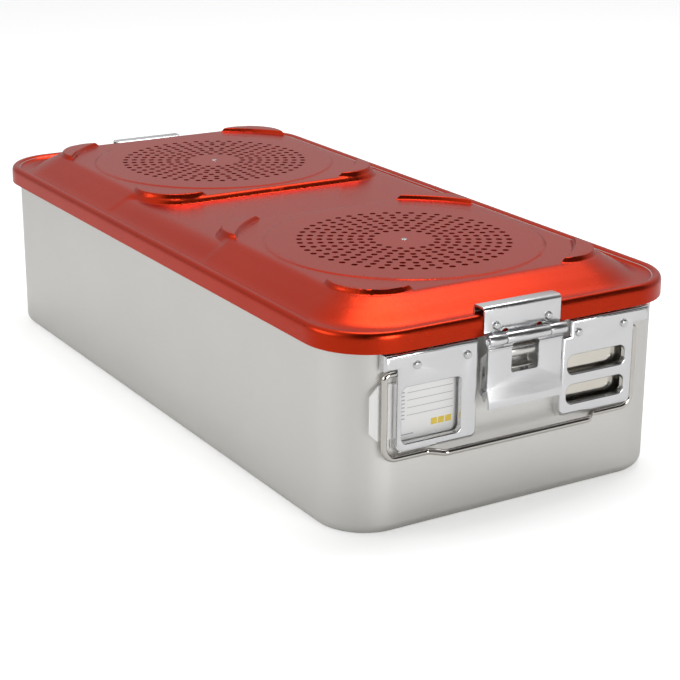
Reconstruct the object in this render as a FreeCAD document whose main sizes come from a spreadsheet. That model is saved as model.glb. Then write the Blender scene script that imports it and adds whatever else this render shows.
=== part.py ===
"""Full-size rigid sterilization container: deep-drawn tub, pressed lid, end hardware.

Millimetres, +Z up. The origin is the middle of the flat underside. The label end is +X.
Everything but the tub is drawn in a frame whose zero height is the tub's rim. End hardware is drawn
once and turned half a turn for the other end.
"""
import FreeCAD, Part
import math
import os
import re
from FreeCAD import Placement, Rotation, Vector
from Sketcher import Constraint

SIZES = {
    # tub
    "tub_height": 136, "tub_corner": 38.6, "tub_setback": 7, "tub_wall": 2, "foot_round": 8,
    "flange_out": 3, "flange_thick": 2,
    # lid sheet: rim bead, gutter, hill, two raised square fields; heights are above the tub's rim
    "lid_length": 592, "lid_width": 285, "lid_corner": 45.8, "lid_wall": 1.5,
    "skirt_bottom": -6.6, "rim_crest": 7.7, "rim_round": 3.2, "rim_band": 6, "rim_fall": 3, "rim_ledge": 0.5,
    "gutter_drop": 3.7, "gutter_width": 4, "shoulder_inset_x": 30.7, "shoulder_inset_y": 28.6,
    "shoulder_rise": 6.5, "shoulder_corner": 34, "shoulder_ledge": 0.8, "valley_half": 40.5,
    "field_inset_x": 38.5, "field_inset_y": 35.5, "field_corner": 30, "field_rise": 11, "field_step": 5,
    # crescent ridges that centre the container stacked above
    "ridge_margin": 14, "ridge_back": 15.2, "ridge_outer": 33.2, "ridge_height": 3.2, "ridge_round": 1.4,
    # perforated fields, each on a slightly raised disc
    "hole_diameter": 6, "hole_margin": 26, "disc_margin": 0.5, "disc_step": 0.6,
    # pressed recess of the rim behind the clip
    "recess_depth": 0.8, "recess_margin": 1,
    # gasket
    "gasket_gap": 0.3, "gasket_inset": 3, "gasket_width": 4,
    # clip, hinge barrel and latch flap
    "hardware_shift": 3, "clip_half": 31.5, "clip_sheet": 1.7, "clip_rise": 5.2, "clip_reach": 12,
    "clip_bottom": -6.4, "clip_round": 3, "clip_inner_round": 1.2, "notch_place": 14, "notch_radius": 2.7,
    "clip_rivet_place": 21.5, "clip_rivet_height": -0.7,
    "barrel_gap": 0.3, "barrel_height": -8.8, "barrel_diameter": 8.2, "barrel_bore": 4.8, "pin_diameter": 4.4,
    "knuckle_split": 18.3, "running_gap": 0.6, "pin_overhang": 0.9,
    "flap_half": 30.3, "flap_sheet": 1.5, "flap_out": 5, "flap_top": -13.6, "flap_bottom": -56.4,
    "lip_start": -44, "lip_end": -50.5, "lip_flare": 2.4, "bead_radius": 1.2, "bead_out": 0.2,
    "bead_height": -15.2, "window_half": 11.2, "window_bottom": -34, "window_round": 2,
    "cheek_depth": 8.4, "cheek_top": -17, "cheek_high": -23, "cheek_low": -45, "cheek_bottom": -52.5,
    "slot_width": 3.6, "slot_low": -35, "slot_high": -28, "slot_back": 2.2, "stud_hole": 3, "stud_height": -46,
    "stud_back": 3, "stud_head": 5, "stud_head_thick": 1, "stud_inside": 2,
    # catch on the tub
    "catch_half": 9.8, "catch_plate_half": 14, "catch_plate_low": -42, "catch_plate_high": -15,
    "catch_corner": 3, "catch_sheet": 1.3, "catch_gap": 0.4, "curl_diameter": 9, "curl_height": -21.2,
    "lip_shelf": -31.8, "lip_shelf_out": 8.5, "catch_rivet_place": 8, "catch_rivet_height": -38,
    # plates beside the latch
    "plate_stand": 8, "plate_sheet": 1.5, "plate_inner": 34.5, "plate_outer": 97.5,
    "band_outer_label": 107.5, "band_outer_slotted": 110, "band_inner_slotted": 41.5,
    "plate_bottom": -76.5, "band_bottom": -18.5,
    "band_top": -7.5, "plate_round": 3, "plate_corner": 5, "window_edge": 1.2, "flange_wall": 1.2,
    "flange_deep": 2.5, "plate_rivet_inner": 46, "plate_rivet_outer": 85.5,
    "plate_rivet_shift": 2, "plate_rivet_height": -16.8,
    "label_low": 48, "label_high": 94.3, "label_bottom": -69.5, "label_top": -31, "label_corner": 4,
    "slit_low": 40, "slit_high": 90, "slit_bottom": -67.8, "slit_height": 13.5, "slit_pitch": 21.5,
    "slit_corner": 5, "sheet_thick": 0.8, "backing_low": 37.5, "backing_high": 94.5, "backing_corner": 3,
    "backing_bottom": -72, "backing_top": -24, "card_inner": 38, "card_outer": 115, "card_bottom": -73.5,
    "card_top": -29, "tab_root": 98.5, "tab_bottom": -67.5, "card_chamfer": 6.5, "card_gap": 0.4,
    # wire bail, a little off the middle of its plates
    "wire": 4.5, "bail_half": 103, "bail_shift": 2.5, "bail_axis_out": 3.6, "bail_axis_height": -21.5,
    "bail_drop": 59, "bail_tail": 9, "bail_bend": 9, "bail_hook_bend": 4, "grip_half": 60, "grip_run": 8,
    "grip_out": 8, "grip_bend": 6, "pivot_gap": 0.25,
    # rivets
    "rivet_shank": 4, "rivet_head": 5.8, "rivet_dome": 1.5, "rivet_inside": 7, "rivet_inside_thick": 1,
    # filter parts under each field
    "stud_diameter": 3, "stud_long": 15.7, "stud_cap": 4.4, "stud_cap_thick": 0.5, "retainer_margin": 5,
    "retainer_sheet": 1.2, "retainer_lip": 4, "retainer_bore": 5, "seal_rim": 1, "seal_width": 4,
    "seal_gap": 0.3, "seal_thick": 0.9, "filter_gap": 2, "filter_thick": 0.6,
    "vent_diameter": 12, "vent_circle": 62,
    "vent_count": 12, "hub_radius": 23, "hub_height": 9, "hub_bore": 3.6, "hub_gap": 0,
    "hub_notch": 7, "hub_notches": 2,
}

# Places worked out from the sizes, written as formulas.
PLACES = {
    "tub_length": "(lid_length - 2 * tub_setback)",
    "tub_width": "(lid_width - 2 * tub_setback)",
    "rim_face": "(lid_length / 2)",
    "wall_face": "(tub_length / 2)",
    "recess_face": "(rim_face - recess_depth)",
    "clip_face": "(recess_face + clip_sheet)",
    "clip_top": "(rim_crest + clip_rise)",
    "barrel_x": "(clip_face + barrel_diameter / 2 + barrel_gap)",
    "barrel_top": "(barrel_height + barrel_diameter / 2)",
    "flap_face": "(rim_face + flap_out)",
    "flap_back": "(flap_face - flap_sheet)",
    "cheek_back": "(flap_face - cheek_depth)",
    "plate_face": "(wall_face + plate_stand)",
    "bail_axis_x": "(wall_face + bail_axis_out)",
    "gutter_floor": "(rim_crest - gutter_drop)",
    "gutter_inset": "(rim_band + rim_fall)",
    "hill_inset": "(gutter_inset + gutter_width)",
    "shoulder_height": "(rim_crest + shoulder_rise)",
    "field_top": "(rim_crest + field_rise)",
    "field_far": "(lid_length / 2 - field_inset_x)",
    "field_centre": "((field_far + valley_half) / 2)",
    "field_half_x": "((field_far - valley_half) / 2)",
    "field_half_y": "(lid_width / 2 - field_inset_y)",
    "ridge_inner": "(field_half_y + ridge_margin)",
    "ridge_centre": "(ridge_inner - ridge_back)",
    "curl_x": "(flap_back - catch_gap - curl_diameter / 2)",
    "curl_top": "(curl_height + curl_diameter / 2)",
    "retainer_radius": "(min(field_half_x; field_half_y) - retainer_margin)",
    "hole_ring_pitch": "((retainer_radius - hole_margin) / 10)",
    "disc_radius": "(retainer_radius + disc_margin)",
    "seal_outer": "(retainer_radius - seal_rim)",
    "seal_inner": "(seal_outer - seal_width)",
    "filter_radius": "(seal_inner - filter_gap)",
    "retainer_top": "(field_top - lid_wall - seal_gap - seal_thick)",
    "retainer_low": "(retainer_top - retainer_sheet)",
    "hub_top": "(retainer_low - hub_gap)",
    "hub_bottom": "(hub_top - hub_height)",
    "stud_top": "(field_top + disc_step)",
    "stud_bottom": "(stud_top - stud_long)",
}

doc = FreeCAD.newDocument("sterilization_container")
sheet = doc.addObject("Spreadsheet::Sheet", "size")
for row, (name, number) in enumerate(SIZES.items(), start=1):
    sheet.set(f"A{row}", name)
    sheet.set(f"B{row}", str(number))
    sheet.setAlias(f"B{row}", name)
doc.recompute()

PARTS = []


def formula(text):
    """Expand places and point every size name at its cell."""
    text = str(text)
    while any(word in PLACES for word in re.findall("[a-z_]+", text)):
        text = re.sub("[a-z_]+", lambda word: PLACES.get(word.group(), word.group()), text)
    return re.sub("[a-z_]+", lambda word: ("size." if word.group() in SIZES else "") + word.group(), text)


def value(text):
    return float(sheet.evalExpression(formula(text)))


def new_body(label, end=None, lifted=True):
    """A body on the tub's rim; end hardware gets its side shift and the rear set half a turn."""
    body = doc.addObject("PartDesign::Body", label)
    body.Label = label
    body.AllowCompound = True
    if lifted:
        place_on_rim(body, end)
    PARTS.append(body)
    return body


def place_on_rim(part, end=None):
    turn = Rotation(Vector(0, 0, 1), 180 if end == "rear" else 0)
    part.Placement = Placement(Vector(), turn)
    part.setExpression("Placement.Base.z", formula("tub_height"))
    if end:
        sign = "" if end == "rear" else "-"
        part.setExpression("Placement.Base.y", formula(f"{sign}hardware_shift"))


def origin(body, role):
    return next(item for item in body.Origin.OriginFeatures if item.Role == role)


def new_sketch(body, plane, lift="0", shift=None):
    """Sketch on an origin plane (XY, XZ or YZ), lifted along the plane's normal."""
    sketch = body.newObject("Sketcher::SketchObject", f"{body.Label}_sketch")
    sketch.AttachmentSupport = [(origin(body, f"{plane}_Plane"), "")]
    sketch.MapMode = "FlatFace"
    sketch.setExpression("AttachmentOffset.Base.z", formula(lift))
    if shift:
        sketch.setExpression("AttachmentOffset.Base.x", formula(shift))
    return sketch


def bind(sketch, kind, *where, size):
    """Add one dimension to a sketch and tie it to a formula."""
    index = sketch.addConstraint(Constraint(kind, *where, value(size)))
    sketch.setExpression(f"Constraints[{index}]", formula(size))


def pin_point(sketch, geometry, point, across, up):
    bind(sketch, "DistanceX", -1, 1, geometry, point, size=across)
    bind(sketch, "DistanceY", -1, 1, geometry, point, size=up)


def polygon(sketch, points):
    """Closed outline; every corner is held by two formulas."""
    spots = [Vector(value(across), value(up), 0) for across, up in points]
    first = sketch.GeometryCount
    for start, stop in zip(spots, spots[1:] + spots[:1]):
        sketch.addGeometry(Part.LineSegment(start, stop), False)
    for step, (across, up) in enumerate(points):
        following = first + (step + 1) % len(points)
        sketch.addConstraint(Constraint("Coincident", first + step, 2, following, 1))
        pin_point(sketch, first + step, 1, across, up)


def circle(sketch, across, up, diameter):
    index = sketch.addGeometry(
        Part.Circle(Vector(value(across), value(up), 0), Vector(0, 0, 1), value(diameter) / 2), False)
    bind(sketch, "Diameter", index, size=diameter)
    pin_point(sketch, index, 3, across, up)


def rounded_box(sketch, left, right, low, high, radius):
    """Rectangle with four equal corner arcs that run tangent into its sides."""
    x0, x1, y0, y1, r = (value(text) for text in (left, right, low, high, radius))
    first = sketch.GeometryCount
    up = Vector(0, 0, 1)
    quarter = math.pi / 2
    sides = [(x0 + r, y0, x1 - r, y0), (x1, y0 + r, x1, y1 - r),
             (x1 - r, y1, x0 + r, y1), (x0, y1 - r, x0, y0 + r)]
    centres = [(x1 - r, y0 + r), (x1 - r, y1 - r), (x0 + r, y1 - r), (x0 + r, y0 + r)]
    for turn, (side, centre) in enumerate(zip(sides, centres)):
        sketch.addGeometry(Part.LineSegment(Vector(side[0], side[1], 0), Vector(side[2], side[3], 0)), False)
        ring = Part.Circle(Vector(centre[0], centre[1], 0), up, r)
        sketch.addGeometry(Part.ArcOfCircle(ring, (turn - 1) * quarter, turn * quarter), False)
    for step in range(4):
        line, arc, following = first + 2 * step, first + 2 * step + 1, first + 2 * ((step + 1) % 4)
        sketch.addConstraint(Constraint("Tangent", line, 2, arc, 1))
        sketch.addConstraint(Constraint("Tangent", arc, 2, following, 1))
        sketch.addConstraint(Constraint("Vertical" if step % 2 else "Horizontal", line))
        if step:
            sketch.addConstraint(Constraint("Equal", first + 1, arc))
    bind(sketch, "Radius", first + 1, size=radius)
    bind(sketch, "DistanceY", -1, 1, first, 1, size=low)
    bind(sketch, "DistanceX", -1, 1, first + 2, 1, size=right)
    bind(sketch, "DistanceY", -1, 1, first + 4, 1, size=high)
    bind(sketch, "DistanceX", -1, 1, first + 6, 1, size=left)


def outline(sketch, piece, inset, inset_y=None, corner=None):
    """Rounded rectangle that follows the tub's or the lid's outline at an inset."""
    across, up = inset, inset_y or inset
    rounded_box(sketch, f"-({piece}_length / 2 - ({across}))", f"{piece}_length / 2 - ({across})",
                f"-({piece}_width / 2 - ({up}))", f"{piece}_width / 2 - ({up})",
                corner or f"{piece}_corner - ({inset})")


def extrude(kind, body, sketch, length, reverse=False, both=False):
    feature = body.newObject(f"PartDesign::{kind}", f"{body.Label}_{kind.lower()}")
    feature.Profile = sketch
    feature.setExpression("Length", formula(length))
    feature.Reversed = reverse
    feature.Midplane = both
    sketch.Visibility = False
    return feature


def pad(body, sketch, length, **options):
    return extrude("Pad", body, sketch, length, **options)


def cut(body, sketch, length, **options):
    return extrude("Pocket", body, sketch, length, **options)


def loft(kind, body, lower, upper):
    feature = body.newObject(f"PartDesign::{kind}", f"{body.Label}_{kind.lower()}")
    feature.Profile = lower
    feature.Sections = [upper]
    return feature


def mirrored(body, features, plane):
    feature = body.newObject("PartDesign::Mirrored", f"{body.Label}_mirror")
    feature.Originals = features
    feature.MirrorPlane = (origin(body, f"{plane}_Plane"), [""])
    body.Tip = feature
    return feature


def turned(body, features, axis, count):
    """Copies of the features, evenly turned about an axis."""
    feature = body.newObject("PartDesign::PolarPattern", f"{body.Label}_turn")
    feature.Originals = features
    feature.Axis = axis
    feature.Angle = 360
    feature.Occurrences = count
    body.Tip = feature
    return feature


def half_turn(body, features):
    return turned(body, features, (origin(body, "Z_Axis"), [""]), 2)


def fillet(body, radius, wanted):
    """Round every edge of the body whose middle point and edge satisfy the test."""
    doc.recompute()
    base = body.Tip
    names = []
    for number, edge in enumerate(base.Shape.Edges, start=1):
        middle = edge.valueAt((edge.FirstParameter + edge.LastParameter) / 2)
        if wanted(middle, edge):
            names.append(f"Edge{number}")
    feature = body.newObject("PartDesign::Fillet", f"{body.Label}_fillet")
    feature.Base = (base, names)
    feature.setExpression("Radius", formula(radius))
    return feature


def shell(body, wall, opened):
    """Hollow the body to a wall of even thickness, open at the faces that satisfy the test."""
    doc.recompute()
    base = body.Tip
    names = [f"Face{number}" for number, face in enumerate(base.Shape.Faces, start=1) if opened(face)]
    feature = body.newObject("PartDesign::Thickness", f"{body.Label}_shell")
    feature.Base = (base, names)
    feature.setExpression("Value", formula(wall))
    feature.Reversed = True
    return feature


def near(number, text):
    return abs(number - value(text)) < 0.01


def along(edge, axis):
    """True for a straight edge that runs along the named axis."""
    line = edge.Curve
    return isinstance(line, Part.Line) and abs(abs(getattr(line.Direction, axis)) - 1) < 1e-6


# Tub

PLATE_RIVETS = [(f"{side} * plate_rivet_{spot} + plate_rivet_shift", "plate_rivet_height")
                for side in (-1, 1) for spot in ("inner", "outer")]
CATCH_RIVETS = [(f"{side} * catch_rivet_place", "catch_rivet_height") for side in (-1, 1)]
CLIP_RIVETS = [(f"{side} * clip_rivet_place", "clip_rivet_height") for side in (-1, 1)]


def make_tub():
    body = new_body("tub", lifted=False)
    foot = new_sketch(body, "XY")
    outline(foot, "tub", "0")
    pad(body, foot, "tub_height")
    fillet(body, "foot_round", lambda middle, edge: near(middle.z, "0"))
    shell(body, "tub_wall", lambda face: near(face.CenterOfMass.z, "tub_height"))
    flange = new_sketch(body, "XY", "tub_height - flange_thick")
    outline(flange, "tub", "-flange_out")
    outline(flange, "tub", "tub_wall / 2")
    pad(body, flange, "flange_thick")
    holes = new_sketch(body, "YZ", "wall_face - tub_wall - 1")
    for across, up in PLATE_RIVETS + CATCH_RIVETS:
        circle(holes, f"{across} - hardware_shift", f"tub_height + {up}", "rivet_shank")
    drilled = cut(body, holes, "tub_wall + 2", reverse=True)
    half_turn(body, [drilled])


# Lid

def lid_form(body, wall, adding):
    """Hill and the two fields, as solid (wall 0) or as the hollow under the sheet."""
    kind = "AdditiveLoft" if adding else "SubtractiveLoft"
    foot = new_sketch(body, "XY", f"gutter_floor - {wall}")
    outline(foot, "lid", f"hill_inset + {wall}")
    brow = new_sketch(body, "XY", f"shoulder_height - {wall}")
    outline(brow, "lid", f"shoulder_inset_x + {wall}", f"shoulder_inset_y + {wall}",
            f"shoulder_corner - {wall}")
    loft(kind, body, foot, brow)
    low = new_sketch(body, "XY", f"shoulder_height - {wall}")
    rounded_box(low, f"field_centre - field_half_x - field_step + {wall}",
                f"lid_length / 2 - shoulder_inset_x - shoulder_ledge - {wall}",
                f"-(lid_width / 2 - shoulder_inset_y - shoulder_ledge - {wall})",
                f"lid_width / 2 - shoulder_inset_y - shoulder_ledge - {wall}", f"shoulder_corner - {wall}")
    high = new_sketch(body, "XY", f"field_top - {wall}")
    rounded_box(high, f"field_centre - field_half_x + {wall}", f"field_centre + field_half_x - {wall}",
                f"-(field_half_y - {wall})", f"field_half_y - {wall}", f"field_corner - {wall}")
    field = loft(kind, body, low, high)
    mirrored(body, [field], "YZ")


def crescent(sketch, side_x, side_y):
    """Crescent on a diagonal of a field: a small disc less the big inner circle."""
    centre = Vector(value("field_centre"), 0, 0)
    diagonal = Vector(side_x, side_y, 0).normalize()
    away, small, big = value("ridge_centre"), value("ridge_outer"), value("ridge_inner")
    along_diagonal = (away ** 2 + big ** 2 - small ** 2) / (2 * away)
    half_chord = (big ** 2 - along_diagonal ** 2) ** 0.5
    across = Vector(-diagonal.y, diagonal.x, 0)
    tips = [centre + diagonal * along_diagonal + across * (sign * half_chord) for sign in (-1, 1)]
    outer = Part.Arc(tips[0], centre + diagonal * (away + small), tips[1])
    inner = Part.Arc(tips[1], centre + diagonal * big, tips[0])
    first = sketch.addGeometry(outer, False)
    second = sketch.addGeometry(inner, False)
    for point in (1, 2):
        here = sketch.getPoint(first, point)
        other = min((1, 2), key=lambda end: sketch.getPoint(second, end).distanceToPoint(here))
        sketch.addConstraint(Constraint("Coincident", first, point, second, other))
    bind(sketch, "Radius", first, size="ridge_outer")
    bind(sketch, "Radius", second, size="ridge_inner")
    pin_point(sketch, first, 3, f"field_centre + {side_x} * ridge_centre * sqrt(0.5)",
              f"{side_y} * ridge_centre * sqrt(0.5)")
    pin_point(sketch, second, 3, "field_centre", "0")


def make_lid_shell():
    body = new_body("lid_shell")
    skirt = new_sketch(body, "XY", "skirt_bottom")
    outline(skirt, "lid", "0")
    pad(body, skirt, "rim_crest - skirt_bottom")
    fillet(body, "rim_round", lambda middle, edge: near(middle.z, "rim_crest"))
    floor = new_sketch(body, "XY", "gutter_floor")
    outline(floor, "lid", "gutter_inset")
    brim = new_sketch(body, "XY", "rim_crest")
    outline(brim, "lid", "rim_band")
    loft("SubtractiveLoft", body, floor, brim)
    lid_form(body, "0", adding=True)
    ridges = new_sketch(body, "XY", "field_top - 1")
    for side_x in (-1, 1):
        for side_y in (-1, 1):
            crescent(ridges, side_x, side_y)
    raised = pad(body, ridges, "ridge_height + 1")
    mirrored(body, [raised], "YZ")
    fillet(body, "ridge_round", lambda middle, edge: near(middle.z, "field_top + ridge_height"))
    inside = new_sketch(body, "XY", "skirt_bottom")
    outline(inside, "lid", "lid_wall")
    cut(body, inside, "gutter_floor - lid_wall - skirt_bottom", reverse=True)
    channel = new_sketch(body, "XY", "gutter_floor - lid_wall")
    outline(channel, "lid", "lid_wall")
    outline(channel, "lid", "gutter_inset - lid_wall - rim_ledge")
    cut(body, channel, "rim_crest - gutter_floor", reverse=True)
    lid_form(body, "lid_wall", adding=False)
    backing = new_sketch(body, "XY", "skirt_bottom")
    reach = "recess_depth + 0.2"
    polygon(backing, [(f"recess_face - lid_wall + {run}",
                       f"{side} * (clip_half + recess_margin + lid_wall) - hardware_shift")
                      for run, side in (("0", -1), (reach, -1), (reach, 1), ("0", 1))])
    thick = pad(body, backing, "gutter_floor - skirt_bottom")
    half_turn(body, [thick])
    recess = new_sketch(body, "XY", "skirt_bottom - 1")
    polygon(recess, [(f"recess_face + {run}", f"{side} * (clip_half + recess_margin) - hardware_shift")
                     for run, side in (("0", -1), ("5", -1), ("5", 1), ("0", 1))])
    pressed = cut(body, recess, "rim_crest - skirt_bottom + 2", reverse=True)
    half_turn(body, [pressed])
    holes = new_sketch(body, "YZ", "recess_face - lid_wall - 1")
    for across, up in CLIP_RIVETS:
        circle(holes, f"{across} - hardware_shift", up, "rivet_shank")
    drilled = cut(body, holes, "lid_wall + 2", reverse=True)
    half_turn(body, [drilled])
    for side in (-1, 1):
        raised = new_sketch(body, "XY", "field_top", shift=f"{side} * field_centre")
        circle(raised, "0", "0", "2 * disc_radius")
        pad(body, raised, "disc_step")
        centre = new_sketch(body, "XY", "field_top + 1", shift=f"{side} * field_centre")
        circle(centre, "0", "0", "stud_diameter")
        cut(body, centre, "lid_wall + 2")
        for ring, count in ((4, 12), (7, 21), (10, 30)):
            hole = new_sketch(body, "XY", "field_top + 1", shift=f"{side} * field_centre")
            circle(hole, f"{ring} * hole_ring_pitch", "0", "hole_diameter")
            punched = cut(body, hole, "lid_wall + 2")
            turned(body, [punched], (hole, ["N_Axis"]), count)


def make_lid_gasket():
    body = new_body("lid_gasket")
    ring = new_sketch(body, "XY", "gasket_gap")
    outline(ring, "lid", "gasket_inset")
    outline(ring, "lid", "gasket_inset + gasket_width")
    pad(body, ring, "rim_crest - lid_wall - gasket_gap")


# End hardware

def make_lid_clip(end):
    body = new_body(f"lid_clip_{end}", end)
    hook = new_sketch(body, "XZ")
    heel = "rim_face - clip_reach"
    under = "clip_top - clip_sheet"
    polygon(hook, [("recess_face", "clip_bottom"), ("clip_face", "clip_bottom"), ("clip_face", "clip_top"),
                   (heel, "clip_top"), (heel, "gutter_floor"), (f"{heel} + clip_sheet", "gutter_floor"),
                   (f"{heel} + clip_sheet", under), ("recess_face", under)])
    pad(body, hook, "2 * clip_half", both=True)
    fillet(body, "clip_round", lambda middle, edge: along(edge, "y") and near(middle.z, "clip_top"))
    fillet(body, "clip_inner_round", lambda middle, edge: along(edge, "y")
           and near(middle.z, "clip_top - clip_sheet"))
    barrel = new_sketch(body, "XZ")
    circle(barrel, "barrel_x", "barrel_height", "barrel_diameter")
    pad(body, barrel, "2 * clip_half", both=True)
    web = new_sketch(body, "XZ")
    polygon(web, [("recess_face", "barrel_top - clip_sheet"), ("barrel_x", "barrel_top - clip_sheet"),
                  ("barrel_x", "barrel_top"), ("recess_face", "barrel_top")])
    pad(body, web, "2 * clip_half", both=True)
    gap = new_sketch(body, "XZ")
    polygon(gap, [("clip_face", "flap_bottom"), ("flap_face + 5", "flap_bottom"),
                  ("flap_face + 5", "barrel_top + running_gap"), ("clip_face", "barrel_top + running_gap")])
    cut(body, gap, "2 * knuckle_split", both=True)
    bore = new_sketch(body, "XZ")
    circle(bore, "barrel_x", "barrel_height", "barrel_bore")
    cut(body, bore, "2 * clip_half + 2", both=True)
    notches = new_sketch(body, "YZ", "recess_face - 1")
    for side in (-1, 1):
        circle(notches, f"{side} * notch_place", "clip_bottom", "2 * notch_radius")
    cut(body, notches, "clip_sheet + 2", reverse=True)
    holes = new_sketch(body, "YZ", "recess_face - 1")
    for across, up in CLIP_RIVETS:
        circle(holes, across, up, "rivet_shank")
    cut(body, holes, "clip_sheet + 2", reverse=True)


def make_rivets(label, end, spots, back, face, inside=False):
    """A row of domed rivets through the sheets between back and face."""
    body = new_body(label, end)
    shanks = new_sketch(body, "YZ", back)
    heads = new_sketch(body, "YZ", face)
    for across, up in spots:
        circle(shanks, across, up, "rivet_shank")
        circle(heads, across, up, "rivet_head")
    pad(body, shanks, f"({face}) - ({back}) + rivet_dome / 2")
    pad(body, heads, "rivet_dome")
    fillet(body, "rivet_dome * 0.9", lambda middle, edge: near(middle.x, f"{face} + rivet_dome"))
    if inside:
        feet = new_sketch(body, "YZ", back)
        for across, up in spots:
            circle(feet, across, up, "rivet_inside")
        pad(body, feet, "rivet_inside_thick", reverse=True)


def make_hinge_pin(end):
    body = new_body(f"hinge_pin_{end}", end)
    section = new_sketch(body, "XZ")
    circle(section, "barrel_x", "barrel_height", "pin_diameter")
    pad(body, section, "2 * (clip_half + pin_overhang)", both=True)


def make_latch_flap(end):
    body = new_body(f"latch_flap_{end}", end)
    side = new_sketch(body, "XZ")
    lip_back, lip_face = "flap_back + lip_flare", "flap_face + lip_flare"
    polygon(side, [("flap_back", "flap_top"), ("flap_back", "lip_start"), (lip_back, "lip_end"),
                   (lip_back, "flap_bottom"), (lip_face, "flap_bottom"), (lip_face, "lip_end"),
                   ("flap_face", "lip_start"), ("flap_face", "flap_top")])
    pad(body, side, "2 * flap_half", both=True)
    bead = new_sketch(body, "XZ")
    circle(bead, "flap_face - bead_out", "bead_height", "2 * bead_radius")
    pad(body, bead, "2 * flap_half", both=True)
    barrel = new_sketch(body, "XZ")
    circle(barrel, "barrel_x", "barrel_height", "barrel_diameter")
    pad(body, barrel, "2 * (knuckle_split - running_gap)", both=True)
    link = new_sketch(body, "XZ")
    polygon(link, [("flap_back", "flap_top - 1"), ("flap_face", "flap_top - 1"),
                   ("flap_face", "barrel_height"), ("flap_back", "barrel_height")])
    pad(body, link, "2 * (knuckle_split - running_gap)", both=True)
    bore = new_sketch(body, "XZ")
    circle(bore, "barrel_x", "barrel_height", "barrel_bore")
    cut(body, bore, "2 * clip_half", both=True)
    window = new_sketch(body, "YZ", "flap_back - 0.3")
    rounded_box(window, "-window_half", "window_half", "window_bottom",
                "barrel_height - barrel_diameter / 2 - running_gap", "window_round")
    cut(body, window, "flap_sheet + bead_radius + 2", reverse=True)
    cheek = new_sketch(body, "XZ", "flap_half - flap_sheet")
    polygon(cheek, [("flap_back + flap_sheet / 2", "cheek_top"), ("cheek_back", "cheek_high"),
                    ("cheek_back", "cheek_low"), ("(cheek_back + flap_face) / 2", "cheek_bottom"),
                    ("flap_back + flap_sheet / 2", "lip_start")])
    wall = pad(body, cheek, "flap_sheet")
    mirrored(body, [wall], "XZ")
    slot = new_sketch(body, "XZ")
    rounded_box(slot, "cheek_back + slot_back", "cheek_back + slot_back + slot_width",
                "slot_low", "slot_high", "slot_width * 0.49")
    cut(body, slot, "2 * flap_half + 2", both=True)
    holes = new_sketch(body, "XZ")
    circle(holes, "cheek_back + stud_back", "stud_height", "stud_hole")
    cut(body, holes, "2 * flap_half + 2", both=True)


def make_latch_studs(end):
    """Two short headed studs in the flap's side walls."""
    body = new_body(f"latch_studs_{end}", end)
    shank = new_sketch(body, "XZ", "flap_half - flap_sheet - stud_inside")
    circle(shank, "cheek_back + stud_back", "stud_height", "stud_hole")
    inner = pad(body, shank, "flap_sheet + stud_inside")
    head = new_sketch(body, "XZ", "flap_half")
    circle(head, "cheek_back + stud_back", "stud_height", "stud_head")
    outer = pad(body, head, "stud_head_thick")
    mirrored(body, [inner, outer], "XZ")


def make_catch(end):
    body = new_body(f"latch_catch_{end}", end)
    base = new_sketch(body, "YZ", "wall_face")
    rounded_box(base, "-catch_plate_half", "catch_plate_half", "catch_plate_low", "catch_plate_high",
                "catch_corner")
    pad(body, base, "catch_sheet")
    curl = new_sketch(body, "XZ")
    circle(curl, "curl_x", "curl_height", "curl_diameter")
    circle(curl, "curl_x", "curl_height", "curl_diameter - 2 * catch_sheet")
    pad(body, curl, "2 * catch_half", both=True)
    arm = new_sketch(body, "XZ")
    inside = "wall_face + catch_sheet / 2"
    polygon(arm, [(inside, "curl_top - catch_sheet"), ("curl_x", "curl_top - catch_sheet"),
                  ("curl_x", "curl_top"), (inside, "curl_top")])
    pad(body, arm, "2 * catch_half", both=True)
    mouth = new_sketch(body, "XZ")
    polygon(mouth, [("wall_face + catch_sheet", "curl_top - 3 * catch_sheet"),
                    ("curl_x", "curl_top - 3 * catch_sheet"), ("curl_x", "curl_height - curl_diameter"),
                    ("wall_face + catch_sheet", "curl_height - curl_diameter")])
    cut(body, mouth, "2 * catch_half + 2", both=True)
    shelf = new_sketch(body, "XZ")
    edge = "wall_face + lip_shelf_out"
    polygon(shelf, [(inside, "lip_shelf - catch_sheet"), (edge, "lip_shelf - catch_sheet"),
                    (edge, "lip_shelf"), (inside, "lip_shelf")])
    pad(body, shelf, "2 * catch_half", both=True)
    holes = new_sketch(body, "YZ", "wall_face - 1")
    for across, up in CATCH_RIVETS:
        circle(holes, across, up, "rivet_shank")
    cut(body, holes, "catch_sheet + 2", reverse=True)


def plate_outline(sketch, side, inset):
    """Plate with a wider top band; the slotted plate's band starts further from the latch."""
    band = "band_outer_slotted" if side > 0 else "band_outer_label"
    points = [("plate_inner + ", "plate_bottom + "), ("plate_outer - ", "plate_bottom + "),
              ("plate_outer - ", "band_bottom + "), (f"{band} - ", "band_bottom + "),
              (f"{band} - ", "band_top - ")]
    if side > 0:
        points += [("band_inner_slotted + ", "band_top - "), ("band_inner_slotted + ", "band_bottom - "),
                   ("plate_inner + ", "band_bottom - ")]
    else:
        points.append(("plate_inner + ", "band_top - "))
    polygon(sketch, [(f"{side} * ({across}{inset})", f"{up}{inset}") for across, up in points])


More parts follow.
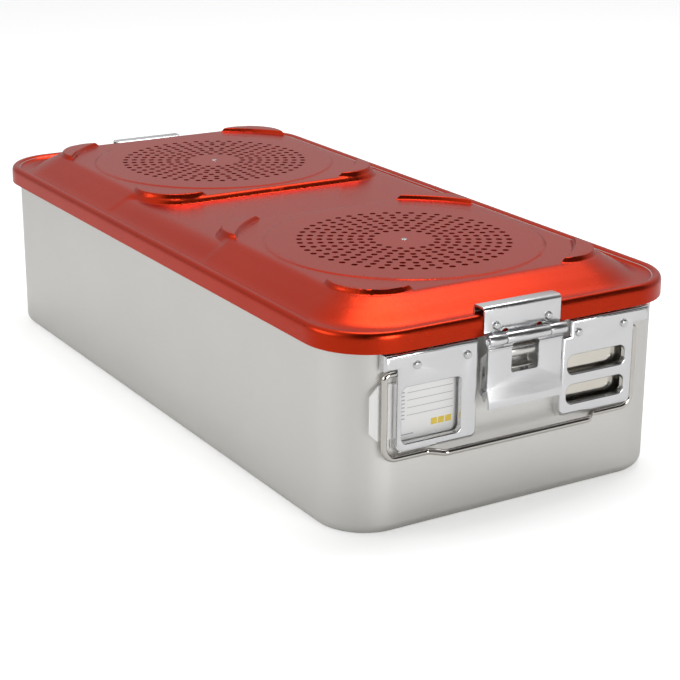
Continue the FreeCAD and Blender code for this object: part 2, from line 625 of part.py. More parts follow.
def make_plate(label, end, side, windows):
    """Pressed tray-shaped plate with a wider top band; it also carries one end of the bail."""
    body = new_body(label, end)
    front = new_sketch(body, "YZ", "wall_face")
    plate_outline(front, side, "0")
    pad(body, front, "plate_stand")
    fillet(body, "plate_corner", lambda middle, edge: along(edge, "x") and near(middle.z, "plate_bottom"))
    fillet(body, "plate_round", lambda middle, edge: near(middle.x, "plate_face"))
    hollow = new_sketch(body, "YZ", "wall_face")
    plate_outline(hollow, side, "plate_sheet")
    cut(body, hollow, "plate_stand - plate_sheet", reverse=True)
    flanges = new_sketch(body, "YZ", "plate_face - plate_sheet")
    openings = new_sketch(body, "YZ", "plate_face + 1")
    for low, high, bottom, top, corner in windows:
        left, right = (low, high) if side > 0 else (f"-{high}", f"-{low}")
        rounded_box(flanges, f"{left} - flange_wall", f"{right} + flange_wall", f"{bottom} - flange_wall",
                    f"{top} + flange_wall", f"{corner} + flange_wall")
        rounded_box(openings, left, right, bottom, top, corner)
    pad(body, flanges, "flange_deep", reverse=True)
    cut(body, openings, "plate_sheet + flange_deep + 2")
    left, right = (value(f"{side} * {name}") for name in ("plate_inner", "plate_outer"))
    fillet(body, "window_edge", lambda middle, edge: near(middle.x, "plate_face")
           and min(left, right) + 3.5 < middle.y < max(left, right) - 3.5
           and value("plate_bottom + plate_round + 1") < middle.z < value("label_top + 1"))
    holes = new_sketch(body, "YZ", "plate_face + 1")
    for spot in ("inner", "outer"):
        circle(holes, f"{side} * plate_rivet_{spot} + plate_rivet_shift", "plate_rivet_height", "rivet_shank")
    cut(body, holes, "plate_sheet + 2")
    pivot = new_sketch(body, "XZ", f"{-side} * (plate_outer - plate_sheet - 1)")
    circle(pivot, "bail_axis_x", "bail_axis_height", "wire + 2 * pivot_gap")
    cut(body, pivot, "plate_sheet + 2", reverse=side < 0)
    return body


def make_label_plate(end):
    body = make_plate(f"label_plate_{end}", end, -1,
                      [("label_low", "label_high", "label_bottom", "label_top", "label_corner")])
    slot = new_sketch(body, "YZ", "wall_face")
    polygon(slot, [("-plate_outer - 1", "card_bottom - card_gap"), ("-plate_outer + plate_sheet + 1",
                   "card_bottom - card_gap"), ("-plate_outer + plate_sheet + 1", "card_top + card_gap"),
                   ("-plate_outer - 1", "card_top + card_gap")])
    cut(body, slot, "sheet_thick + card_gap", reverse=True)


def make_slotted_plate(end):
    low = ("slit_low", "slit_high", "slit_bottom", "slit_bottom + slit_height", "slit_corner")
    high = ("slit_low", "slit_high", "slit_bottom + slit_pitch", "slit_bottom + slit_pitch + slit_height",
            "slit_corner")
    make_plate(f"slotted_plate_{end}", end, 1, [low, high])


def make_backing_sheet(end):
    body = new_body(f"backing_sheet_{end}", end)
    sketch = new_sketch(body, "YZ", "wall_face")
    rounded_box(sketch, "backing_low", "backing_high", "backing_bottom", "backing_top",
                "backing_corner")
    pad(body, sketch, "sheet_thick")


def make_label_card():
    body = new_body("label_card_front", "front")
    sketch = new_sketch(body, "YZ", "wall_face")
    polygon(sketch, [("-card_inner", "card_bottom"), ("-card_inner", "card_top"),
                     ("-card_outer + card_chamfer", "card_top"), ("-card_outer", "card_top - card_chamfer"),
                     ("-card_outer", "tab_bottom + card_chamfer"),
                     ("-card_outer + card_chamfer", "tab_bottom"),
                     ("-tab_root", "tab_bottom"), ("-tab_root", "card_bottom")])
    pad(body, sketch, "sheet_thick")


def rounded_path(points, radii):
    """Straight runs joined by tangent arcs; radii belong to the inner points."""
    edges = []
    start = points[0]
    for before, corner, after, radius in zip(points, points[1:], points[2:], radii):
        back = (before - corner).normalize()
        forward = (after - corner).normalize()
        half = back.getAngle(forward) / 2
        setback = radius / math.tan(half)
        entry = corner + back * setback
        leave = corner + forward * setback
        bisector = (back + forward).normalize()
        reach = (radius ** 2 + setback ** 2) ** 0.5 - radius
        edges.append(Part.LineSegment(start, entry).toShape())
        edges.append(Part.Arc(entry, corner + bisector * reach, leave).toShape())
        start = leave
    edges.append(Part.LineSegment(start, points[-1]).toShape())
    return Part.Wire(edges)


def make_bail(end):
    """One bent wire: two tails in the plates, two legs and a grip that stands out in the middle."""
    x, top = value("bail_axis_x"), value("bail_axis_height")
    low = top - value("bail_drop")
    half, tail = value("bail_half"), value("bail_tail")
    grip, run, out = value("grip_half"), value("grip_run"), value("grip_out")
    left = [Vector(x, -half + tail, top), Vector(x, -half, top), Vector(x, -half, low),
            Vector(x, -grip - run, low), Vector(x + out, -grip, low)]
    right = [Vector(point.x, -point.y, point.z) for point in reversed(left)]
    shift = Vector(0, -value("bail_shift"), 0)
    bends = [value("bail_hook_bend"), value("bail_bend"), value("grip_bend"), value("grip_bend")]
    path = rounded_path([point + shift for point in left + right], bends + bends[::-1])
    section = Part.Wire(Part.Circle(left[0] + shift, Vector(0, 1, 0), value("wire") / 2).toShape())
    bail = doc.addObject("Part::Feature", f"bail_{end}")
    bail.Label = f"bail_{end}"
    bail.Shape = path.makePipeShell([section], True, True)
    place_on_rim(bail, end)
    PARTS.append(bail)


# Filter parts under the fields

def disc(body, side, low, thick, outer, inner=None):
    sketch = new_sketch(body, "XY", low, shift=f"{side} * field_centre")
    circle(sketch, "0", "0", f"2 * {outer}")
    if inner:
        circle(sketch, "0", "0", f"2 * {inner}")
    return pad(body, sketch, thick)


def make_filter_set(end):
    side = 1 if end == "front" else -1
    stud = new_body(f"filter_stud_{end}")
    disc(stud, side, "stud_bottom", "stud_long", "stud_diameter / 2")
    disc(stud, side, "stud_top", "stud_cap_thick", "stud_cap / 2")
    fillet(stud, "stud_cap_thick * 0.8", lambda middle, edge: near(middle.z, "stud_top + stud_cap_thick"))
    paper = new_body(f"filter_disc_{end}")
    disc(paper, side, "retainer_top", "filter_thick", "filter_radius", "retainer_bore / 2")
    seal = new_body(f"filter_seal_{end}")
    disc(seal, side, "retainer_top", "seal_thick", "seal_outer", "seal_inner")
    retainer = new_body(f"filter_retainer_{end}")
    disc(retainer, side, "retainer_low", "retainer_sheet", "retainer_radius", "retainer_bore / 2")
    disc(retainer, side, "retainer_low - retainer_lip", "retainer_lip", "retainer_radius",
         "(retainer_radius - retainer_sheet)")
    vent = new_sketch(retainer, "XY", "retainer_top", shift=f"{side} * field_centre")
    circle(vent, "vent_circle", "0", "vent_diameter")
    punched = cut(retainer, vent, "retainer_sheet")
    turned(retainer, [punched], (vent, ["N_Axis"]), int(value("vent_count")))
    hub = new_body(f"retainer_hub_{end}")
    disc(hub, side, "hub_bottom", "hub_height", "hub_radius", "hub_bore / 2")
    flute = new_sketch(hub, "XY", "hub_top", shift=f"{side} * field_centre")
    circle(flute, "hub_radius + hub_notch / 3", "0", "2 * hub_notch")
    cut_flute = cut(hub, flute, "hub_height")
    turned(hub, [cut_flute], (flute, ["N_Axis"]), int(value("hub_notches")))


make_tub()
make_lid_shell()
make_lid_gasket()
for end in ("front", "rear"):
    make_lid_clip(end)
    make_rivets(f"clip_rivets_{end}", end, CLIP_RIVETS, "recess_face - lid_wall", "clip_face")
    make_hinge_pin(end)
    make_latch_flap(end)
    make_latch_studs(end)
    make_catch(end)
    make_rivets(f"catch_rivets_{end}", end, CATCH_RIVETS, "wall_face - tub_wall", "wall_face + catch_sheet",
                inside=True)
    make_label_plate(end)
    make_slotted_plate(end)
    make_backing_sheet(end)
    make_rivets(f"plate_rivets_{end}", end, PLATE_RIVETS, "wall_face - tub_wall", "plate_face", inside=True)
    make_bail(end)
    make_filter_set(end)
make_label_card()
doc.recompute()

for item in doc.Objects:
    if "Invalid" in item.State or "Error" in item.State:
        raise RuntimeError(f"{item.Label} of {item.Name} failed: {item.State}")
os.makedirs("parts", exist_ok=True)
for part in PARTS:
    if part.Shape.isNull() or not part.Shape.isValid() or not part.Shape.Solids:
        raise RuntimeError(f"{part.Label} is not a valid solid")
    part.Shape.exportStep(f"parts/{part.Label}.step")
    print(part.Label, len(part.Shape.Solids), "solids", len(part.Shape.Faces), "faces",
          round(part.Shape.Volume / 1000, 2), "cm3")
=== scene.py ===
"""Looks of a full-size sterilization container: red anodised lid, satin tub, bright end hardware.

Everything is in metres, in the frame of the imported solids: +X is the label end, +Z up.
"""

import math

import bpy
from mathutils import Matrix, Vector


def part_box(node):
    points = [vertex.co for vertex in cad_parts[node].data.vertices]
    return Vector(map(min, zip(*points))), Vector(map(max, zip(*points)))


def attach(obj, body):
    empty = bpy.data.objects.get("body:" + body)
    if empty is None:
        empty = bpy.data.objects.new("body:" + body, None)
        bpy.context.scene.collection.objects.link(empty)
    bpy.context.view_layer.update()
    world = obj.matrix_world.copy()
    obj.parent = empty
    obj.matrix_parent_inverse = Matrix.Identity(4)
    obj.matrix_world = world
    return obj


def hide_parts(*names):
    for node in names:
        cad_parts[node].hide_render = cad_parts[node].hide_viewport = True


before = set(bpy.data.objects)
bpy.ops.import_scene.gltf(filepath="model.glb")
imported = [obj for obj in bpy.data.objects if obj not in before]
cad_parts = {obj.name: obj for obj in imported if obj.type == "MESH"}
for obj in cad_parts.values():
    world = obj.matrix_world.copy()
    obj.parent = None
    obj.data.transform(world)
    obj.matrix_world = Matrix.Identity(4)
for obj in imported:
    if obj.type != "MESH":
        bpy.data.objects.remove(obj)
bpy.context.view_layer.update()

mm = 0.001
ENDS = {"front": 1, "rear": -1}
HARDWARE_SHIFT = 3 * mm

# Lid sheet: its lowest and highest points come from the solids, the rest is measured on the real lid
LID_LOW, LID_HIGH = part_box("lid_shell")
LID_HALF_X, LID_HALF_Y = 296 * mm, 142.5 * mm
LID_CORNER = 45.8 * mm
LID_WALL = 1.5 * mm
SKIRT_BOTTOM = LID_LOW.z
RIM_CREST = 143.7 * mm
GUTTER_FLOOR = 140 * mm
FIELD_TOP = 154.7 * mm
VALLEY_FLOOR = 150.4 * mm
FIELD_CENTRE = 149 * mm
FIELD_HALF = (108.5 * mm, 107 * mm)
FIELD_CORNER = 30 * mm
HILL_HALF = (265.3 * mm, 113.9 * mm)
HILL_CORNER = 34 * mm
HILL_SLOPE, FIELD_SLOPE = 0.6, 2.0
HILL_SOFTNESS, FIELD_SOFTNESS = 2.6 * mm, 1.1 * mm
RIDGE_INNER, RIDGE_AWAY, RIDGE_OUTER = 121 * mm, 105.8 * mm, 33.2 * mm
RIDGE_HEIGHT = LID_HIGH.z - FIELD_TOP
RIDGE_SHOULDER = 2.4 * mm
FINE_STEP, FINE_AREA = 0.15 * mm, 0.8 * mm * mm
DISC_RADIUS, DISC_STEP, DISC_EDGE = 102.5 * mm, 0.7 * mm, 1.6 * mm
# Toward the valley the fields' sides grow steeper from here on, over this run
STEEP_START, STEEP_RUN = FIELD_CENTRE - FIELD_HALF[0] * 0.6, 20 * mm
HOLE_START, HOLE_PITCH, HOLE_RADIUS = 24.6 * mm, 7.4 * mm, 2.4 * mm
HOLE_COUNTS = (18, 24, 30, 30, 36, 42, 42, 48)


# Small tools for modelling

def deselect():
    if bpy.context.object and bpy.context.object.mode != "OBJECT":
        bpy.ops.object.mode_set(mode="OBJECT")
    bpy.ops.object.select_all(action="DESELECT")


def choose(*pieces):
    deselect()
    for piece in pieces:
        piece.select_set(True)
    bpy.context.view_layer.objects.active = pieces[0]


def named(name):
    piece = bpy.context.object
    piece.name = name
    piece.data.name = name
    return piece


def settle(piece):
    """Put the object's place, turn and size into its mesh."""
    choose(piece)
    bpy.ops.object.transform_apply(location=True, rotation=True, scale=True)
    return piece


def apply_modifier(piece, kind, **settings):
    """Add one modifier with its settings and make it part of the mesh."""
    choose(piece)
    modifier = piece.modifiers.new(kind.lower(), kind)
    for key, setting in settings.items():
        setattr(modifier, key, setting)
    bpy.ops.object.modifier_apply(modifier=modifier.name)


def smooth(piece, degrees=35):
    choose(piece)
    bpy.ops.object.shade_smooth_by_angle(angle=math.radians(degrees))


def tidy_mesh(piece, distance=0.01 * mm, flatten=None, outward=False):
    """Merge doubled points; if asked, join faces flat to some degrees and turn all faces outward."""
    choose(piece)
    bpy.ops.object.mode_set(mode="EDIT")
    bpy.ops.mesh.select_all(action="SELECT")
    bpy.ops.mesh.remove_doubles(threshold=distance)
    if flatten:
        bpy.ops.mesh.dissolve_limited(angle_limit=math.radians(flatten))
    if outward:
        bpy.ops.mesh.normals_make_consistent(inside=False)
    bpy.ops.object.mode_set(mode="OBJECT")


def cut_away(piece, cutter):
    apply_modifier(piece, "BOOLEAN", operation="DIFFERENCE", object=cutter, solver="MANIFOLD")
    bpy.data.objects.remove(cutter)


def finish_piece(piece, body, slot, material, *nodes):
    """Give a piece its finish, hang it on the body it rides on and hide the solids it stands for."""
    piece.data.materials.clear()
    piece.data.materials.append(material)
    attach(piece, body)
    if nodes:
        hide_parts(*nodes)
    return piece


def ring_points(count, half_x, half_y, radius):
    """Closed loop round a rounded rectangle, anticlockwise from the middle of the +X side."""
    straight_x = LID_HALF_X - LID_CORNER
    straight_y = LID_HALF_Y - LID_CORNER
    arc = LID_CORNER * math.pi / 2
    total = straight_x + straight_y + arc
    points = []
    for step in range(count):
        quarter, place = divmod(step * 4 / count, 1)
        run = place * total
        if quarter % 2:
            run = total - run
        corner_x, corner_y = half_x - radius, half_y - radius
        if run < straight_y:
            x, y = half_x, corner_y * run / straight_y
        elif run < straight_y + arc:
            turn = (run - straight_y) / LID_CORNER
            x, y = corner_x + radius * math.cos(turn), corner_y + radius * math.sin(turn)
        else:
            x, y = corner_x * (1 - (run - straight_y - arc) / straight_x), half_y
        side_x = 1 if quarter in (0, 3) else -1
        side_y = 1 if quarter in (0, 1) else -1
        points.append((side_x * x, side_y * y))
    return points


def wrapped_sheet(name, loops):
    """Sheet through closed loops of points, made from a grid whose ends are joined."""
    around, rows = len(loops[0]), len(loops)
    deselect()
    bpy.ops.mesh.primitive_grid_add(x_subdivisions=around, y_subdivisions=rows - 1, size=1)
    sheet = named(name)
    for row, loop in enumerate(loops):
        for step in range(around + 1):
            sheet.data.vertices[row * (around + 1) + step].co = loop[step % around]
    tidy_mesh(sheet)
    return sheet


def block_between(low, high):
    """A block between two corners."""
    deselect()
    middle = [(a + b) / 2 for a, b in zip(low, high)]
    bpy.ops.mesh.primitive_cube_add(size=1, location=middle)
    block = bpy.context.object
    block.scale = [b - a for a, b in zip(low, high)]
    return settle(block)


# Materials

def new_material(name):
    material = bpy.data.materials.new(name)
    material.use_nodes = True
    nodes = material.node_tree.nodes
    return material, nodes, material.node_tree.links, nodes["Principled BSDF"]


def object_noise(nodes, links, scale, stretch=(1, 1, 1), detail=4):
    """Noise on the piece's own coordinates."""
    place = nodes.new("ShaderNodeTexCoord")
    mapping = nodes.new("ShaderNodeMapping")
    noise = nodes.new("ShaderNodeTexNoise")
    mapping.inputs["Scale"].default_value = stretch
    noise.inputs["Scale"].default_value = scale
    noise.inputs["Detail"].default_value = detail
    links.new(place.outputs["Object"], mapping.inputs["Vector"])
    links.new(mapping.outputs["Vector"], noise.inputs["Vector"])
    return noise.outputs["Fac"]


def spread(nodes, links, source, low, high):
    """Map a noise value into a narrow range."""
    step = nodes.new("ShaderNodeMapRange")
    step.inputs["From Min"].default_value = 0.3
    step.inputs["From Max"].default_value = 0.7
    step.inputs["To Min"].default_value = low
    step.inputs["To Max"].default_value = high
    links.new(source, step.inputs["Value"])
    return step.outputs["Result"]


def tint(nodes, links, source, dark, light):
    """Blend between two close colours."""
    mix = nodes.new("ShaderNodeMix")
    mix.data_type = "RGBA"
    mix.inputs["A"].default_value = (*dark, 1)
    mix.inputs["B"].default_value = (*light, 1)
    links.new(source, mix.inputs["Factor"])
    return mix.outputs["Result"]


def bump(nodes, links, source, shader, strength, distance):
    """Fine grain of a surface, far below its real form."""
    node = nodes.new("ShaderNodeBump")
    node.inputs["Strength"].default_value = strength
    node.inputs["Distance"].default_value = distance
    links.new(source, node.inputs["Height"])
    links.new(node.outputs["Normal"], shader.inputs["Normal"])


def metal(name, dark, light, rough, grain=(1, 1, 1), grain_scale=900, grain_depth=0.02 * mm, coat=0.0,
          metallic=1.0):
    """Metal whose colour, roughness and fine grain all vary a little."""
    material, nodes, links, shader = new_material(name)
    cloud = object_noise(nodes, links, 14)
    fine = object_noise(nodes, links, grain_scale, grain, 3)
    colour = tint(nodes, links, spread(nodes, links, cloud, 0, 1), dark, light)
    links.new(colour, shader.inputs["Base Color"])
    links.new(spread(nodes, links, fine, rough - 0.03, rough + 0.03), shader.inputs["Roughness"])
    bump(nodes, links, fine, shader, 0.25, grain_depth)
    shader.inputs["Metallic"].default_value = metallic
    shader.inputs["Coat Weight"].default_value = coat
    shader.inputs["Coat Roughness"].default_value = 0.3
    return material


def plain(name, dark, light, rough):
    """Moulded, woven or printed stuff with a faint mottle."""
    return metal(name, dark, light, rough, grain_scale=600, grain_depth=0.05 * mm, metallic=0.0)


RED = metal("red anodised", (0.50, 0.024, 0.003), (0.53, 0.028, 0.004), 0.30, grain_scale=400,
            grain_depth=0.002 * mm, coat=0.12)
TUB_SATIN = metal("satin tub", (0.72, 0.71, 0.68), (0.74, 0.73, 0.70), 0.42, grain=(0.08, 0.08, 1.0),
                  grain_scale=1400, metallic=0.9)
SHEET_SATIN = metal("satin sheet", (0.74, 0.74, 0.75), (0.79, 0.79, 0.80), 0.24, grain=(1, 0.06, 1))
RIVET_BRIGHT = metal("rivet", (0.62, 0.62, 0.63), (0.7, 0.7, 0.7), 0.16)
CATCH_STEEL = metal("catch steel", (0.70, 0.69, 0.66), (0.76, 0.75, 0.72), 0.28, grain=(1, 0.05, 1))
MIRROR_STEEL = metal("bright steel", (0.74, 0.70, 0.62), (0.80, 0.76, 0.68), 0.14)
WIRE_BRIGHT = metal("bright wire", (0.60, 0.57, 0.53), (0.68, 0.66, 0.62), 0.1)
RETAINER_SATIN = metal("retainer", (0.62, 0.62, 0.63), (0.68, 0.68, 0.69), 0.35)
SILICONE = plain("silicone", (0.50, 0.50, 0.48), (0.56, 0.56, 0.54), 0.6)
PAPER = plain("filter paper", (0.80, 0.80, 0.78), (0.86, 0.86, 0.84), 0.9)
HUB_BLACK = plain("hub", (0.03, 0.03, 0.032), (0.045, 0.045, 0.047), 0.5)
CARD_WHITE = plain("card", (0.92, 0.915, 0.90), (0.95, 0.945, 0.93), 0.45)
PRINT_GREY = plain("print grey", (0.40, 0.40, 0.42), (0.46, 0.46, 0.48), 0.5)
PRINT_YELLOW = plain("print yellow", (0.85, 0.62, 0.08), (0.88, 0.66, 0.10), 0.5)


# Lid

def away_from_box(x, y, half_x, half_y, radius):
    """Signed distance to a rounded rectangle about the origin, negative inside."""
    across = abs(x) - half_x + radius
    up = abs(y) - half_y + radius
    outside = math.hypot(max(across, 0), max(up, 0))
    return outside + min(max(across, up), 0) - radius


def lid_inset(x, y):
    """How far a point lies inside the lid's outline."""
    return -away_from_box(x, y, LID_HALF_X, LID_HALF_Y, LID_CORNER)


def soft_max(first, second, softness):
    """The larger of two values, with a rounded turn where they meet."""
    gap = max(softness - abs(first - second), 0) / softness
    return max(first, second) + gap * gap * softness / 4


def ease(value):
    """Smooth step from 0 to 1."""
    value = min(max(value, 0), 1)
    return value * value * (3 - 2 * value)


def lid_height(x, y):
    """Height of the pressed sheet inside the rim bead."""
    to_hill = away_from_box(x, y, *HILL_HALF, HILL_CORNER)
    valley = VALLEY_FLOOR - HILL_SLOPE * soft_max(to_hill, 0, 2 * HILL_SOFTNESS)
    to_field = away_from_box(abs(x) - FIELD_CENTRE, y, *FIELD_HALF, FIELD_CORNER)
    slope = HILL_SLOPE + (FIELD_SLOPE - HILL_SLOPE) * ease((STEEP_START - abs(x)) / STEEP_RUN)
    field = FIELD_TOP - slope * soft_max(to_field, 0, 2 * FIELD_SOFTNESS)
    height = soft_max(soft_max(valley, field, FIELD_SOFTNESS), GUTTER_FLOOR, HILL_SOFTNESS)
    local = Vector((abs(x) - FIELD_CENTRE, y))
    diagonal = Vector((math.copysign(math.sqrt(0.5), local.x), math.copysign(math.sqrt(0.5), local.y)))
    into_ridge = min(RIDGE_OUTER - (local - diagonal * RIDGE_AWAY).length, local.length - RIDGE_INNER)
    height += DISC_STEP * ease((DISC_RADIUS - local.length) / DISC_EDGE)
    return height + RIDGE_HEIGHT * ease(into_ridge / RIDGE_SHOULDER)


def lid_loops(around):
    """Loops from the skirt's lower edge over the rim bead to the middle line of the lid."""
    bead = [(0, SKIRT_BOTTOM), (0, 132 * mm), (0, 135 * mm), (0, 138 * mm), (0.05 * mm, 139.6 * mm),
            (0.4 * mm, 141.2 * mm), (1.1 * mm, 142.5 * mm), (2.2 * mm, 143.4 * mm), (3.6 * mm, RIM_CREST),
            (5.0 * mm, 143.4 * mm), (6.2 * mm, 142.6 * mm), (7.2 * mm, 141.6 * mm), (8.2 * mm, 140.7 * mm),
            (9.4 * mm, 140.15 * mm)]
    loops = []
    for inset, height in bead:
        ring = ring_points(around, LID_HALF_X - inset, LID_HALF_Y - inset, LID_CORNER - inset)
        loops.append([(x, y, height) for x, y in ring])
    bead_end, pitch = 9.4, 3
    for step in range(1, 9):
        inset = (bead_end + pitch * step) * mm
        ring = ring_points(around, LID_HALF_X - inset, LID_HALF_Y - inset, LID_CORNER - 0.6 * inset)
        loops.append([(x, y, lid_height(x, y)) for x, y in ring])
    rows = 24
    spine = (LID_HALF_X - LID_HALF_Y) / (LID_HALF_X - inset)
    for step in range(1, rows + 1):
        share = step / rows
        points = [(x * (1 - share * (1 - spine)), y * (1 - share)) for x, y in ring]
        loops.append([(x, y, lid_height(x, y)) for x, y in points])
    return loops


def refine(lid, rounds):
    """Halve the faces where the pressed form bends, and press the new points into it."""
    for _ in range(rounds):
        choose(lid)
        bpy.ops.object.mode_set(mode="EDIT")
        bpy.ops.mesh.select_mode(type="FACE")
        bpy.ops.mesh.select_all(action="DESELECT")
        bpy.ops.object.mode_set(mode="OBJECT")
        mesh = lid.data
        for face in mesh.polygons:
            corners = [mesh.vertices[index].co for index in face.vertices]
            middle = sum(corners, Vector()) / len(corners)
            spots = [(one + other) / 2 for one, other in zip(corners, corners[1:] + corners[:1])] + [middle]
            face.select = (lid_inset(*middle.xy) > 12 * mm and face.area > FINE_AREA
                           and max(abs(lid_height(*spot.xy) - spot.z) for spot in spots) > FINE_STEP)
        bpy.ops.object.mode_set(mode="EDIT")
        bpy.ops.mesh.subdivide(number_cuts=1)
        bpy.ops.object.mode_set(mode="OBJECT")
        for vertex in lid.data.vertices:
            if lid_inset(*vertex.co.xy) > 11 * mm:
                vertex.co.z = lid_height(*vertex.co.xy)


def perforation_cutter():
    """Every hole of both fields as one mesh of short round pegs, one peg copied."""
    deselect()
    reach = 4 * mm
    low, high = FIELD_TOP - reach, FIELD_TOP + reach
    bpy.ops.mesh.primitive_cylinder_add(vertices=12, radius=HOLE_RADIUS, depth=high - low,
                                        location=(0, 0, (low + high) / 2))
    peg = settle(bpy.context.object)
    pegs = []
    for side in (-1, 1):
        spots = [(HOLE_START + ring * HOLE_PITCH, 2 * math.pi * step / count)
                 for ring, count in enumerate(HOLE_COUNTS) for step in range(count)]
        for radius, turn in spots:
            copy = bpy.data.objects.new("peg", peg.data.copy())
            copy.data.transform(Matrix.Translation((side * FIELD_CENTRE + radius * math.cos(turn),
                                                    radius * math.sin(turn), 0)))
            bpy.context.collection.objects.link(copy)
            pegs.append(copy)
    choose(*pegs)
    bpy.ops.object.join()
    cutter = bpy.context.object
    bpy.data.objects.remove(peg)
    return cutter


def make_lid():
    """Pressed sheet with its wall, its perforations and the two recesses for the latch clips."""
    merge = 0.05 * mm
    recess_half, recess_wall, outside = 32.5 * mm, 295.2 * mm, 300 * mm
    lid = wrapped_sheet("lid_dressed", lid_loops(320))
    tidy_mesh(lid, distance=merge)
    refine(lid, 3)
    tidy_mesh(lid, distance=merge, outward=True)
    if sum(face.normal.z * face.area for face in lid.data.polygons) < 0:
        lid.data.flip_normals()
    apply_modifier(lid, "SOLIDIFY", thickness=LID_WALL, offset=-1, use_even_offset=True)
    smooth(lid, 50)
    cut_away(lid, perforation_cutter())
    for side in (1, -1):
        middle = -side * HARDWARE_SHIFT
        low_x, high_x = sorted((side * recess_wall, side * outside))
        cut_away(lid, block_between((low_x, middle - recess_half, 120 * mm),
                                    (high_x, middle + recess_half, 150 * mm)))
    smooth(lid, 40)
    finish_piece(lid, "lid", "red_lid", RED, "lid_shell")


# Tub

def close_loops(piece):
    """Fill every open boundary loop with one flat face."""
    choose(piece)
    bpy.ops.object.mode_set(mode="EDIT")
    bpy.ops.mesh.select_all(action="SELECT")
    bpy.ops.mesh.fill_holes(sides=0)
    bpy.ops.object.mode_set(mode="OBJECT")


def make_tub():
    """Shelled, deep-drawn tub: outside wall, rolled flange, inside wall and floor."""
    half_x, half_y, corner = 289 * mm, 135.5 * mm, 38.6 * mm
    foot, wall, top, flange = 8 * mm, 2 * mm, 136 * mm, 3 * mm
    flat_rim = 30 * mm
    bend_steps = 8
    profile = [(foot + flat_rim, 0), (foot + 4 * mm, 0)]
    for step in range(bend_steps + 1):
        turn = math.pi / 2 * step / bend_steps
        profile.append((foot - foot * math.sin(turn), foot - foot * math.cos(turn)))
    profile += [(0, 40 * mm), (0, 80 * mm), (0, 120 * mm), (0, top - 2 * mm), (-flange, top - 2 * mm),
                (-flange, top), (wall, top), (wall, 80 * mm)]
    inner = foot - wall
    for step in range(bend_steps + 1):
        turn = math.pi / 2 * step / bend_steps
        profile.append((wall + inner - inner * math.cos(turn), wall + inner - inner * math.sin(turn)))
    profile.append((foot + flat_rim, wall))
    loops = []
    for inset, height in profile:
        ring = ring_points(320, half_x - inset, half_y - inset, max(corner - inset, 1 * mm))
        loops.append([(x, y, height) for x, y in ring])
    tub = wrapped_sheet("tub_dressed", loops)
    close_loops(tub)
    tidy_mesh(tub, outward=True)
    smooth(tub, 40)
    finish_piece(tub, "base", "satin_tub", TUB_SATIN, "tub")


# End hardware

def dressed_copy(node, body, slot, material, bevel):
    """The solid's own shape with merged faces and softened edges."""
    piece = bpy.data.objects.new(f"{node}_dressed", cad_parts[node].data.copy())
    bpy.context.collection.objects.link(piece)
    tidy_mesh(piece, flatten=1.0)
    if bevel:
        apply_modifier(piece, "BEVEL", width=bevel, segments=3, limit_method="ANGLE",
                       angle_limit=math.radians(45))
    smooth(piece, 40)
    return finish_piece(piece, body, slot, material, node)


def bent_wire(points, radii, steps=8):
    """Points along straight runs joined by tangent arcs."""
    line = [points[0]]
    for before, corner, after, radius in zip(points, points[1:], points[2:], radii):
        back = (before - corner).normalized()
        forward = (after - corner).normalized()
        half = back.angle(forward) / 2
        setback = radius / math.tan(half)
        centre = corner + (back + forward).normalized() * radius / math.sin(half)
        entry, leave = corner + back * setback - centre, corner + forward * setback - centre
        for step in range(steps + 1):
            line.append(centre + entry.slerp(leave, step / steps) * radius)
    line.append(points[-1])
    return line


def make_bail(end, side):
    """Bent wire: turned-in ends, two side runs and a grip that stands out from the tub."""
    x, top, low = 292.6 * mm, 114.5 * mm, 55.5 * mm
    half, tail, grip, run, out, shift = 103 * mm, 9 * mm, 60 * mm, 8 * mm, 8 * mm, 2.5 * mm
    left = [Vector((x, -half + tail, top)), Vector((x, -half, top)), Vector((x, -half, low)),
            Vector((x, -grip - run, low)), Vector((x + out, -grip, low))]
    right = [Vector((point.x, -point.y, point.z)) for point in reversed(left)]
    bends = [4 * mm, 9 * mm, 6 * mm, 6 * mm]
    line = bent_wire(left + right, bends + bends[::-1])
    curve = bpy.data.curves.new(f"bail_{end}_line", "CURVE")
    curve.dimensions = "3D"
    curve.bevel_depth = 2.25 * mm
    curve.bevel_resolution = 6
    curve.use_fill_caps = True
    spline = curve.splines.new("POLY")
    spline.points.add(len(line) - 1)
    for point, place in zip(spline.points, line):
        point.co = (side * place.x, side * (place.y - shift - HARDWARE_SHIFT), place.z, 1)
    wire = bpy.data.objects.new(f"bail_{end}_dressed", curve)
    bpy.context.collection.objects.link(wire)
    choose(wire)
    bpy.ops.object.convert(target="MESH")
    wire = bpy.context.object
    smooth(wire, 60)
    finish_piece(wire, f"bail_{end}", "bright_wire", WIRE_BRIGHT, f"bail_{end}")


def card_marks(name, strips, material):
    """Printed strips on the front card: (low y, high y, low z, high z) in millimetres."""
    card_face, print_face = 289.75 * mm, 289.86 * mm
    blocks = []
    for low_y, high_y, low_z, high_z in strips:
        blocks.append(block_between((card_face, low_y * mm, low_z * mm),
                                    (print_face, high_y * mm, high_z * mm)))
    choose(*blocks)
    bpy.ops.object.join()
    marks = named(name)
    finish_piece(marks, "base", "label_card", material)


